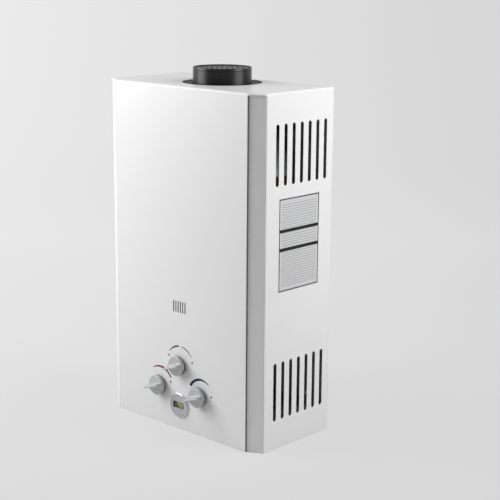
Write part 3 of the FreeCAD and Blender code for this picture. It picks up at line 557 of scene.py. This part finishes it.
class HEATER_OT_vents(bpy.types.Operator):
    """Pressed lips inside the side vent slots, coloured near-black as painted shade."""
    bl_idname = "heater.vents"
    bl_label = "Vent lips"

    def execute(self, context):
        # The lips' near-black colour is painted shade inside the slots.
        material = grained("vent_lip_shade", (0.02, 0.02, 0.021), (0.012, 0.012, 0.013), gloss=(0.6, 0.7),
                           bump=0.04)
        shapes = []
        for side in (-1, 1):
            for base in (LOWER_VENT_BASE, TOP - UPPER_VENT_DROP):
                for index in range(VENT_COUNT):
                    shapes.append(self.lip(side, FRONT + VENT_FIRST + index * VENT_PITCH, base))
        points, faces = join(shapes)
        crease(add_piece("vent_lips", points, faces, material, "case"), math.radians(40))
        return {"FINISHED"}

    def lip(self, side, y, base, steps=10):
        """Thin rolled edge that runs round one slot."""
        outline = []
        radius = VENT_WIDTH / 2
        for centre, start in ((base + VENT_HEIGHT - radius, 0.0), (base + radius, math.pi)):
            for step in range(steps + 1):
                angle = start + math.pi * step / steps
                outline.append((math.cos(angle), math.sin(angle), centre))
        section = [(0.02, 0.00002), (-0.18, 0.0005), (-0.18, 0.0014), (0.02, 0.0014)]
        points = []
        for across, up, centre in outline:
            for grow, depth in section:
                reach = radius + grow * MM
                points.append((side * (SIDE - depth), y + reach * across, centre + reach * up))
        faces = []
        count, sides = len(outline), len(section)
        for index in range(count):
            ahead = (index + 1) % count
            for corner in range(sides):
                after = (corner + 1) % sides
                face = (index * sides + corner, ahead * sides + corner,
                        ahead * sides + after, index * sides + after)
                faces.append(face if side > 0 else face[::-1])
        return points, faces


class HEATER_OT_flue(bpy.types.Operator):
    """Black enamelled flue collar, its grille and the trim plate round it; the plate is a heat-shield ring
    whose matt black also serves as painted shade in the gap round the collar.
    """
    bl_idname = "heater.flue"
    bl_label = "Flue collar"

    def execute(self, context):
        enamel = grained("black_enamel", (0.009, 0.009, 0.010), (0.016, 0.016, 0.017), gloss=(0.36, 0.42),
                         bump=0.03, Specular_IOR_Level=0.45, Anisotropic=0.8, Anisotropic_Rotation=0.25)
        mesh_wire = grained("guard_mesh", (0.10, 0.10, 0.105), (0.06, 0.06, 0.063), gloss=(0.3, 0.4),
                            bump=0.05, Metallic=0.5)
        # The trim plate's matt black is painted shade for the gap round the collar, on a heat-shield ring.
        hole_shade = grained("flue_hole_shade", (0.014, 0.014, 0.015), (0.03, 0.03, 0.03), gloss=(0.5, 0.65))
        points, faces = lathe(self.collar_profile(), (0, FLUE_Y, 0), (0, 0, 1), 160)
        collar = add_piece("flue_collar_skin", points, faces, enamel, "case")
        crease(collar, math.radians(35))
        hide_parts("flue_collar")
        dress(["flue_grille"], mesh_wire)
        dress(["flue_trim_plate"], hole_shade)
        return {"FINISHED"}

    def collar_profile(self):
        """Section of the collar: its neck in the hood, the groove, the rolled rim and the bore."""
        foot, top = low("flue_collar").z, high("flue_collar").z
        neck = [(1.2 * MM, foot), (0.6 * MM, foot), (0.6 * MM, TOP - 1 * MM), (0.0, TOP - 0.6 * MM)]
        rim = [(0.0, 6.2), (0.5, 5.6), (0.5, 5.0), (0.0, 4.4), (0.0, 1.4), (0.25, 0.5), (0.8, 0.0),
               (1.8, 0.1), (2.3, 0.9), (2.0, 2.0), (1.2, 3.0)]
        profile = [(FLUE_RADIUS - inset, height) for inset, height in neck]
        return profile + [(FLUE_RADIUS - inset * MM, top - drop * MM) for inset, drop in rim]


# Half the knob's section across the grip, as distance from the crest line and height in mm
KNOB_SECTION = [(19.0, 11.0), (18.8, 11.5), (18.3, 11.85), (17.4, 12.05), (13.0, 12.45), (9.0, 12.8),
                (6.6, 13.05), (5.2, 13.4), (4.2, 13.95), (3.4, 14.8), (2.9, 16.0), (2.6, 17.6), (2.35, 20.0),
                (2.1, 23.0), (1.95, 25.2), (1.8, 26.6), (1.5, 27.4), (1.0, 27.85), (0.4, 28.0)]


class HEATER_OT_knobs(bpy.types.Operator):
    """Silver-grey knobs with a swept grip, dark rings of painted shade at their foot, pointer marks and steel
    spindles.
    """
    bl_idname = "heater.knobs"
    bl_label = "Knobs"

    def execute(self, context):
        plastic = grained("knob_plastic", (0.56, 0.565, 0.575), (0.42, 0.425, 0.435), mottle=0.35, cloud=60.0,
                          grain=(2200, 2200, 300), gloss=(0.22, 0.34), bump=0.12, Metallic=0.25)
        groove = grained("knob_groove", (0.13, 0.13, 0.14), (0.08, 0.08, 0.09), gloss=(0.5, 0.6))
        # The near-black foot ring is painted shade on the knob's skirt.
        foot_shade = grained("knob_foot_shade", (0.02, 0.02, 0.021), (0.03, 0.03, 0.031), gloss=(0.5, 0.6))
        for name, centre in KNOBS.items():
            points, faces = self.body(centre)
            skin = add_piece(name + "_skin", points, faces, plastic, name)
            crease(skin, math.radians(50))
            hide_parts(name)
            points, faces = self.shade_ring(centre)
            ring = add_piece(name + "_shade_ring", points, faces, foot_shade, name)
            crease(ring, math.radians(35))
            points, faces = self.pointer(centre)
            add_piece(name + "_pointer", points, faces, groove, name, smooth=False)
        steel = grained("turned_steel", (0.20, 0.20, 0.21), (0.12, 0.12, 0.13), grain=(200, 3000, 200),
                        gloss=(0.35, 0.5), Metallic=1.0)
        dress(["gas_spindle", "season_spindle", "water_spindle"], steel)
        return {"FINISHED"}

    def place(self, centre, along, across, height):
        """Point of a knob in the frame, from mm along the grip, across it and above the panel."""
        c, s = math.cos(GRIP_ANGLE), math.sin(GRIP_ANGLE)
        return (centre[0] + (along * c - across * s) * MM, FRONT - height * MM,
                centre[1] + (along * s + across * c) * MM)

    def body(self, centre, columns=56):
        """Disc face that runs up into the thin grip, closed by its rim and underside."""
        section = [(-across, height) for across, height in KNOB_SECTION] + KNOB_SECTION[::-1]
        points, faces = [], []
        flat_radius = KNOB_RADIUS - KNOB_EDGE
        for across, height in section:
            half = math.sqrt(max(0.0, KNOB_RADIUS ** 2 - across ** 2))
            for column in range(columns + 1):
                along = half * math.sin(math.pi / 2 * (-1 + 2 * column / columns))
                near_rim = min(1.0, max(0.0, (math.hypot(along, across) - flat_radius) / KNOB_EDGE))
                drop = 0.0
                if abs(across) <= flat_radius:
                    drop = KNOB_EDGE_DROP * (1 - math.sqrt(1 - near_rim ** 2))
                points.append(self.place(centre, along, across, height - drop))
        rows = len(section) - 1
        width = columns + 1
        for row in range(rows):
            for column in range(columns):
                a = row * width + column
                faces.append((a, a + 1, a + width + 1, a + width))
        rim = [row * width + columns for row in range(rows + 1)]
        rim += [row * width for row in range(rows, -1, -1)]
        base, count = len(points), len(rim)
        points += [(points[index][0], FRONT - KNOB_SKIRT * MM, points[index][2]) for index in rim]
        middle = len(points)
        points.append((centre[0], FRONT - KNOB_SKIRT * MM, centre[1]))
        for index in range(count):
            ahead = (index + 1) % count
            faces.append((rim[index], base + index, base + ahead, rim[ahead]))
        for index in range(count):
            faces.append((base + index, middle, base + (index + 1) % count))
        return points, faces

    def shade_ring(self, centre):
        """Dark ring round the foot of the skirt, painted shade for the gap between knob and panel."""
        inner, outer, lower, upper = 18.9 * MM, 19.06 * MM, -4.45 * MM, -6.3 * MM
        section = [(inner, lower), (outer, lower), (outer, upper), (inner, upper), (inner, lower)]
        return lathe(section, (centre[0], FRONT, centre[1]), (0, 1, 0), 72)

    def pointer(self, centre):
        """Dark mark along the left end of the grip's crest."""
        mark_foot, mark_top, mark_half, mark_start, mark_end = 27.2, 27.99, 0.38, -17.2, -8.0
        corners = []
        for height in (mark_foot, mark_top):
            for across in (-mark_half, mark_half):
                for along in (mark_start, mark_end):
                    corners.append(self.place(centre, along, across, height))
        return corners, BLOCK_FACES


class HEATER_OT_dials(bpy.types.Operator):
    """Printed arcs and dots round the knobs."""
    bl_idname = "heater.dials"
    bl_label = "Dial print"

    def execute(self, context):
        dials = settings().dials
        inks = {"red": (0.17, 0.004, 0.010), "navy": (0.005, 0.009, 0.065), "black": (0.004, 0.004, 0.005),
                "grey": (0.08, 0.08, 0.09)}
        made = {}
        for key, value in inks.items():
            made[key] = grained("ink_" + key, value, tuple(0.8 * c for c in value), mottle=0.1,
                                gloss=(0.45, 0.55), bump=0.02, Specular_IOR_Level=0.2)
        # Name, centre and radius in mm, first and last angle, half widths in mm, ink
        arcs = [("left_scale", (-53.0, 77.5), 35.0, 124, 33, (0.7, 2.1, 1.7), "red"),
                ("middle_scale_low", (2.0, 127.0), 36.5, 144, 97, (0.5, 1.3, 1.5), "black"),
                ("middle_scale_high", (2.0, 127.0), 36.5, 86, 36, (0.7, 1.2, 0.6), "red"),
                ("right_scale", (58.0, 78.0), 32.5, 152, 54, (2.7, 2.3, 0.7), "navy")]
        for name, centre, radius, start, end, widths, ink in arcs:
            centre = (centre[0] * MM, centre[1] * MM)
            points, faces = ring_strip(centre, radius * MM, math.radians(start), math.radians(end),
                                       self.taper(widths), dials.lift)
            add_piece(name, points, faces, made[ink], "case", smooth=False)
        dot_radius = 2.0 * MM
        dots = [(-29.0, 140.7), (33.7, 138.1), (-24.9, 87.5), (83.9, 83.1)]
        shapes = []
        for x, z in dots:
            profile = [(PRINT_FOOT, -PRINT_FOOT), (dot_radius, -PRINT_FOOT), (dot_radius, -dials.lift),
                       (PRINT_FOOT, -dials.lift)]
            shapes.append(lathe(profile, (x * MM, FRONT, z * MM), (0, 1, 0), 24))
        points, faces = join(shapes)
        add_piece("scale_dots", points, faces, made["grey"], "case", smooth=False)
        return {"FINISHED"}

    def taper(self, widths):
        """Half width along an arc, from its values in mm at the start, middle and end."""
        first, middle, last = (value * MM for value in widths)

        def half(share):
            if share < 0.5:
                return first + (middle - first) * share * 2
            return middle + (last - middle) * (share - 0.5) * 2
        return half


class HEATER_OT_display(bpy.types.Operator):
    """Round display: silver bezel, pale face, screen and its digits."""
    bl_idname = "heater.display"
    bl_label = "Display"

    def execute(self, context):
        dress(["display_bezel"], self.bezel())
        clear = grained("screen_clear", (0.9, 0.9, 0.92), (0.85, 0.85, 0.88), mottle=0.05, gloss=(0.03, 0.06),
                        bump=0.0, Transmission_Weight=1.0, IOR=1.45)
        dress(["display_window"], clear)
        panel = grained("screen_back", (0.012, 0.014, 0.010), (0.009, 0.010, 0.008), gloss=(0.5, 0.6))
        dress(["display_board"], panel)
        lit = grained("digit_green", (0.42, 0.50, 0.06), (0.38, 0.46, 0.05), mottle=0.1, gloss=(0.4, 0.5),
                      Emission_Color=(0.46, 0.56, 0.05), Emission_Strength=0.75)
        reading = settings().display
        first_digit, digit_pitch = -4.2, 7.6
        shapes = []
        for index, digit in enumerate("%02d" % reading.number):
            start = (first_digit + index * digit_pitch) * MM
            shapes += self.digit(int(digit), start, reading.digit_height)
        points, faces = join(shapes)
        add_piece("display_digits", points, faces, lit, "case", smooth=False)
        return {"FINISHED"}

    def bezel(self):
        """Bright ring, a dark line inside it and a paler face."""
        material, graph, shader = blank_material("bezel_face")
        soft = graph.node("ShaderNodeBevel", {"Radius": 0.5 * MM}, samples=4)
        look = group_node(graph, "surface_grain", {
            "Colour": (0.66, 0.66, 0.68), "Tint": (0.56, 0.56, 0.58), "Mottle": 0.1,
            "Grain Scale": (1800, 1800, 1800), "Gloss Low": 0.34, "Gloss High": 0.45, "Bump": 0.04,
            "Normal": soft.outputs["Normal"]})
        x, _, z = graph.axes()
        rise = graph.math("SUBTRACT", z, DISPLAY_RISE)
        square = graph.math("ADD", graph.math("MULTIPLY", x, x), graph.math("MULTIPLY", rise, rise))
        reach = graph.math("SQRT", square)
        face = graph.math("LESS_THAN", reach, FACE_RADIUS)
        line = graph.between(reach, FACE_RADIUS, RING_RADIUS)
        colour = graph.mix(face, look.outputs["Colour"], (0.50, 0.50, 0.53))
        colour = graph.mix(line, colour, (0.10, 0.10, 0.11))
        metal = graph.math("MULTIPLY", graph.math("GREATER_THAN", reach, RING_RADIUS), 0.85)
        graph.feed(shader.inputs["Base Color"], colour)
        graph.feed(shader.inputs["Roughness"], look.outputs["Roughness"])
        graph.feed(shader.inputs["Normal"], look.outputs["Normal"])
        graph.feed(shader.inputs["Metallic"], metal)
        return material

    def digit(self, value, start, height):
        """Bars of one seven-segment digit."""
        lit = {0: "abcdef", 1: "bc", 2: "abged", 3: "abgcd", 4: "fgbc", 5: "afgcd", 6: "afgedc", 7: "abc",
               8: "abcdefg", 9: "abcdfg"}[value]
        width, bar = height * 0.52, height * 0.15
        half = height / 2
        spots = {"a": (0, half - bar, width, half), "g": (0, -bar / 2, width, bar / 2),
                 "d": (0, -half, width, bar - half), "f": (0, 0, bar, half),
                 "b": (width - bar, 0, width, half), "e": (0, -half, bar, 0),
                 "c": (width - bar, -half, width, 0)}
        bars = []
        face = low("display_board").y
        gap = bar * 0.12
        for key in lit:
            x0, z0, x1, z1 = spots[key]
            bars.append(block((start + x0 + gap, face - 0.12 * MM, SCREEN_RISE + z0 + gap),
                              (start + x1 - gap, face - 0.02 * MM, SCREEN_RISE + z1 - gap)))
        return bars


class HEATER_OT_inside(bpy.types.Operator):
    """Metals, plastics and ceramics of the inner pieces and the connections."""
    bl_idname = "heater.inside"
    bl_label = "Inner pieces"

    def execute(self, context):
        material, graph, shader = blank_material("galvanised_sheet")
        zinc = group_node(graph, "zinc_spangle", {"Scale": 95.0})
        graph.feed(shader.inputs["Base Color"], zinc.outputs["Colour"])
        graph.feed(shader.inputs["Roughness"], zinc.outputs["Roughness"])
        shader.inputs["Metallic"].default_value = 0.9
        dress(["bottom_plate", "exhaust_hood", "burner_tray", "switch_bracket", "electrode_clamps",
               "exchanger_brackets"], material)
        copper = grained("copper_tube", (0.45, 0.21, 0.12), (0.20, 0.09, 0.06), mottle=0.7, cloud=14.0,
                         gloss=(0.25, 0.45), bump=0.04, Metallic=1.0)
        dress(["exchanger_shell", "exchanger_fins", "exchanger_tubes", "combustion_chamber", "wrap_tube",
               "cold_feed_pipe", "hot_outlet_pipe", "gas_feed_pipe"], copper)
        stainless = grained("stamped_stainless", (0.52, 0.51, 0.50), (0.40, 0.38, 0.36),
                            grain=(120, 1500, 120), gloss=(0.28, 0.45), bump=0.06, Metallic=1.0)
        dress(["burner_blades", "battery_contacts", "push_rod", "switch_lever", "lid_pin"], stainless)
        cast = grained("die_cast_alloy", (0.50, 0.51, 0.52), (0.38, 0.39, 0.40), mottle=0.5, cloud=60.0,
                       grain=(700, 700, 700), gloss=(0.45, 0.62), bump=0.25, Metallic=0.85)
        dress(["gas_valve", "season_valve", "gas_manifold"], cast)
        dress(["gas_inlet_fitting", "cold_inlet_fitting", "hot_outlet_fitting"], self.threaded_brass())
        brass = grained("turned_brass", (0.68, 0.50, 0.20), (0.50, 0.34, 0.12), mottle=0.4, cloud=40.0,
                        gloss=(0.22, 0.4), bump=0.05, Metallic=1.0)
        dress(["water_valve", "diaphragm_cover", "gas_nozzles", "relief_valve", "temperature_probe"], brass)
        black = grained("black_moulding", (0.02, 0.02, 0.021), (0.035, 0.035, 0.037),
                        grain=(1500, 1500, 1500), gloss=(0.4, 0.55), bump=0.12)
        dress(["gas_solenoid", "microswitch", "relief_knob", "overheat_switch", "battery_box",
               "battery_lid"], black)
        pale = grained("pale_moulding", (0.72, 0.72, 0.69), (0.64, 0.64, 0.60), gloss=(0.4, 0.5), bump=0.08)
        dress(["control_box", "control_lid"], pale)
        ceramic = grained("glazed_ceramic", (0.83, 0.80, 0.74), (0.76, 0.72, 0.64), gloss=(0.12, 0.2),
                          bump=0.03)
        dress(["ignition_electrode", "flame_sensor"], ceramic)
        jacket = grained("cell_jacket", (0.07, 0.08, 0.10), (0.05, 0.055, 0.07), gloss=(0.2, 0.3), bump=0.02)
        dress(["battery_cells"], jacket)
        mica = grained("mica_sheet", (0.80, 0.72, 0.52), (0.70, 0.60, 0.40), mottle=0.6, gloss=(0.1, 0.2),
                       Transmission_Weight=0.85, IOR=1.56)
        dress(["sight_glass"], mica)
        return {"FINISHED"}

    def threaded_brass(self):
        """Turned brass with a cut thread at its lower end."""
        material, graph, shader = blank_material("threaded_brass")
        look = group_node(graph, "surface_grain", {
            "Colour": (0.68, 0.50, 0.20), "Tint": (0.50, 0.34, 0.12), "Mottle": 0.4, "Mottle Scale": 40.0,
            "Gloss Low": 0.22, "Gloss High": 0.4, "Bump": 0.05})
        thread_low, thread_high = 11.2 * MM, 32.6 * MM
        thread = group_node(graph, "pipe_thread", {"Bottom": thread_low, "Top": thread_high})
        bump = graph.node("ShaderNodeBump", {
            "Strength": 0.9, "Distance": 1.1 * MM, "Height": thread.outputs["Height"]})
        graph.feed(shader.inputs["Base Color"], look.outputs["Colour"])
        graph.feed(shader.inputs["Roughness"], look.outputs["Roughness"])
        graph.feed(shader.inputs["Normal"], bump.outputs["Normal"])
        shader.inputs["Metallic"].default_value = 1.0
        return material


class HEATER_OT_screws(bpy.types.Operator):
    """Pan-head screws under the cover's tabs."""
    bl_idname = "heater.screws"
    bl_label = "Screws"

    def execute(self, context):
        steel = grained("plated_screw", (0.55, 0.55, 0.57), (0.42, 0.42, 0.44), gloss=(0.2, 0.35),
                        Metallic=1.0)
        inset, spread, side_y, top = 9.5 * MM, 120 * MM, -60 * MM, 40.45 * MM
        inner = SIDE - inset
        tabs = [(-spread, FRONT + inset), (spread, FRONT + inset), (-inner, side_y), (inner, side_y)]
        # Radius and depth of a head in mm: recess, dome and the flat under it
        head = [(0.1, 1.0), (1.1, 1.0), (1.3, 2.1), (2.7, 2.1), (3.6, 1.4), (4.0, 0.0), (0.1, 0.0)]
        profile = [(radius * MM, top - depth * MM) for radius, depth in head]
        shapes = []
        for x, y in tabs:
            shapes.append(lathe(profile, (x, y, 0), (0, 0, 1), 32))
        points, faces = join(shapes)
        crease(add_piece("cover_screws", points, faces, steel, "case"), math.radians(35))
        return {"FINISHED"}


class HEATER_OT_stage(bpy.types.Operator):
    """Pale sweep, three soft lights and the camera."""
    bl_idname = "heater.stage"
    bl_label = "Stage"

    def execute(self, context):
        self.sweep()
        self.lights()
        self.camera()
        context.scene.view_settings.view_transform = "Standard"
        return {"FINISHED"}

    def sweep_material(self):
        """Pale backdrop with a painted light falloff: its glow darkens from left to right and from far to
        near.
        """
        material = bpy.data.materials.new("sweep")
        material.use_nodes = True
        material.node_tree.nodes.clear()
        graph = Graph(material.node_tree)
        x, y, _ = graph.axes()
        c, s = math.cos(settings().stage.azimuth), math.sin(settings().stage.azimuth)
        across = graph.math("ADD", graph.math("MULTIPLY", x, c), graph.math("MULTIPLY", y, s))
        depth = graph.math("SUBTRACT", graph.math("MULTIPLY", y, c), graph.math("MULTIPLY", x, s))
        # Painted light falloff across and along the backdrop's glow.
        painted_falloff = graph.node("ShaderNodeMapRange", {"Value": across, "From Min": -1.2, "From Max": 1.0})
        far = graph.node("ShaderNodeMapRange", {"Value": depth, "From Min": -0.5, "From Max": 1.6})
        near_tone = graph.mix(painted_falloff.outputs["Result"], (0.80, 0.80, 0.80), (0.69, 0.69, 0.69))
        far_tone = graph.mix(painted_falloff.outputs["Result"], (1.0, 1.0, 1.0), (0.82, 0.82, 0.82))
        tone = graph.mix(far.outputs["Result"], near_tone, far_tone)
        diffuse = graph.node("ShaderNodeBsdfDiffuse", {"Color": (0.50, 0.50, 0.50)})
        glow = graph.node("ShaderNodeEmission", {"Color": tone, "Strength": 1.0})
        path = graph.node("ShaderNodeLightPath").outputs
        seen = graph.math("MAXIMUM", path["Is Camera Ray"], path["Is Glossy Ray"])
        seen = graph.math("MAXIMUM", seen, path["Is Transmission Ray"])
        both = graph.node("ShaderNodeMixShader")
        graph.feed(both.inputs[0], graph.math("MULTIPLY", seen, 0.8))
        graph.feed(both.inputs[1], diffuse.outputs[0])
        graph.feed(both.inputs[2], glow.outputs[0])
        graph.node("ShaderNodeOutputMaterial", {"Surface": both.outputs[0]})
        return material

    def sweep(self):
        """Floor that bends up into a wall behind the heater, seen from the camera."""
        half, near, away, rise, bend, arc_steps = 9.0, -9.0, 4.5, 6.0, 1.5, 12
        floor_height = -0.1 * MM
        turn = Matrix.Rotation(settings().stage.azimuth, 3, "Z")
        rows = [(near, floor_height), (away - bend, floor_height)]
        for step in range(1, arc_steps + 1):
            angle = math.pi / 2 * step / arc_steps
            rows.append((away - bend + bend * math.sin(angle), bend - bend * math.cos(angle)))
        rows.append((away, rise))
        points = []
        for depth, height in rows:
            for side in (-half, half):
                points.append(turn @ Vector((side, depth, height)))
        faces = [(2 * i, 2 * i + 1, 2 * i + 3, 2 * i + 2) for i in range(len(rows) - 1)]
        mesh = bpy.data.meshes.new("sweep")
        mesh.from_pydata(points, [], faces)
        mesh.polygons.foreach_set("use_smooth", [True] * len(faces))
        mesh.materials.append(self.sweep_material())
        floor = bpy.data.objects.new("sweep", mesh)
        bpy.context.scene.collection.objects.link(floor)

    def lights(self):
        """Two lamps that model the case, a weak one overhead and the world's light."""
        stage = settings().stage
        world = bpy.context.scene.world or bpy.data.worlds.new("World")
        bpy.context.scene.world = world
        world.use_nodes = True
        graph = Graph(world.node_tree)
        seen = graph.node("ShaderNodeLightPath").outputs["Is Camera Ray"]
        sky = graph.mix(seen, (0.26, 0.26, 0.26), (0.72, 0.72, 0.72))
        graph.feed(world.node_tree.nodes["Background"].inputs["Color"], sky)
        aim = Vector((0, 0, 0.38))
        rigs = [("front_light", (-0.95, -0.90, 1.00), 1.1, stage.key_power),
                ("side_light", (1.15, 0.50, 1.10), 0.9, stage.side_power),
                ("top_light", (0.0, 0.05, 2.25), 1.2, stage.top_power)]
        for name, spot, size, power in rigs:
            lamp = bpy.data.lights.new(name, "AREA")
            lamp.shape = "DISK"
            lamp.size = size
            lamp.energy = power
            rig = bpy.data.objects.new(name, lamp)
            rig.location = spot
            rig.rotation_euler = (aim - Vector(spot)).to_track_quat("-Z", "Y").to_euler()
            bpy.context.scene.collection.objects.link(rig)

    def camera(self):
        """Camera on a sphere round its aim point."""
        stage = settings().stage
        a, e = stage.azimuth, stage.elevation
        back = Vector((math.sin(a) * math.cos(e), -math.cos(a) * math.cos(e), math.sin(e)))
        right = Vector((math.cos(a), math.sin(a), 0))
        up = back.cross(right)
        tilt = Matrix.Rotation(stage.roll, 3, back)
        right, up = tilt @ right, tilt @ up
        data = bpy.data.cameras.new("camera")
        data.sensor_width = SENSOR_WIDTH
        data.lens = SENSOR_WIDTH * FOCAL_PIXELS / PICTURE_PIXELS
        data.clip_end = 100.0
        rig = bpy.data.objects.new("camera", data)
        turn = Matrix((right, up, back)).transposed().to_4x4()
        rig.matrix_world = Matrix.Translation(CAMERA_AIM + back * stage.distance) @ turn
        bpy.context.scene.collection.objects.link(rig)
        bpy.context.scene.camera = rig


OPERATORS = [HEATER_OT_case, HEATER_OT_vents, HEATER_OT_flue, HEATER_OT_knobs, HEATER_OT_dials,
             HEATER_OT_display, HEATER_OT_inside, HEATER_OT_screws, HEATER_OT_stage]


class HEATER_PT_panel(bpy.types.Panel):
    """Settings and build steps of the heater."""
    bl_idname = "HEATER_PT_panel"
    bl_label = "Heater"
    bl_space_type = "VIEW_3D"
    bl_region_type = "UI"
    bl_category = "Heater"

    def draw(self, context):
        heater = context.scene.heater
        for group in (heater.case, heater.label, heater.dials, heater.display, heater.stage):
            section = self.layout.box()
            for key in group.__annotations__:
                section.prop(group, key)
        for operator in OPERATORS:
            self.layout.operator(operator.bl_idname)


CLASSES = [CaseFinish, LabelPrint, DialPrint, DisplayReading, StageSetup, HeaterSettings, *OPERATORS,
           HEATER_PT_panel]


def register():
    for item in CLASSES:
        bpy.utils.register_class(item)
    bpy.types.Scene.heater = bpy.props.PointerProperty(type=HeaterSettings)


def unregister():
    del bpy.types.Scene.heater
    for item in reversed(CLASSES):
        bpy.utils.unregister_class(item)


def main():
    register()
    bpy.ops.heater.case()
    bpy.ops.heater.vents()
    bpy.ops.heater.flue()
    bpy.ops.heater.knobs()
    bpy.ops.heater.dials()
    bpy.ops.heater.display()
    bpy.ops.heater.inside()
    bpy.ops.heater.screws()
    bpy.ops.heater.stage()
    bpy.context.view_layer.update()


if __name__ == "__main__":
    main()
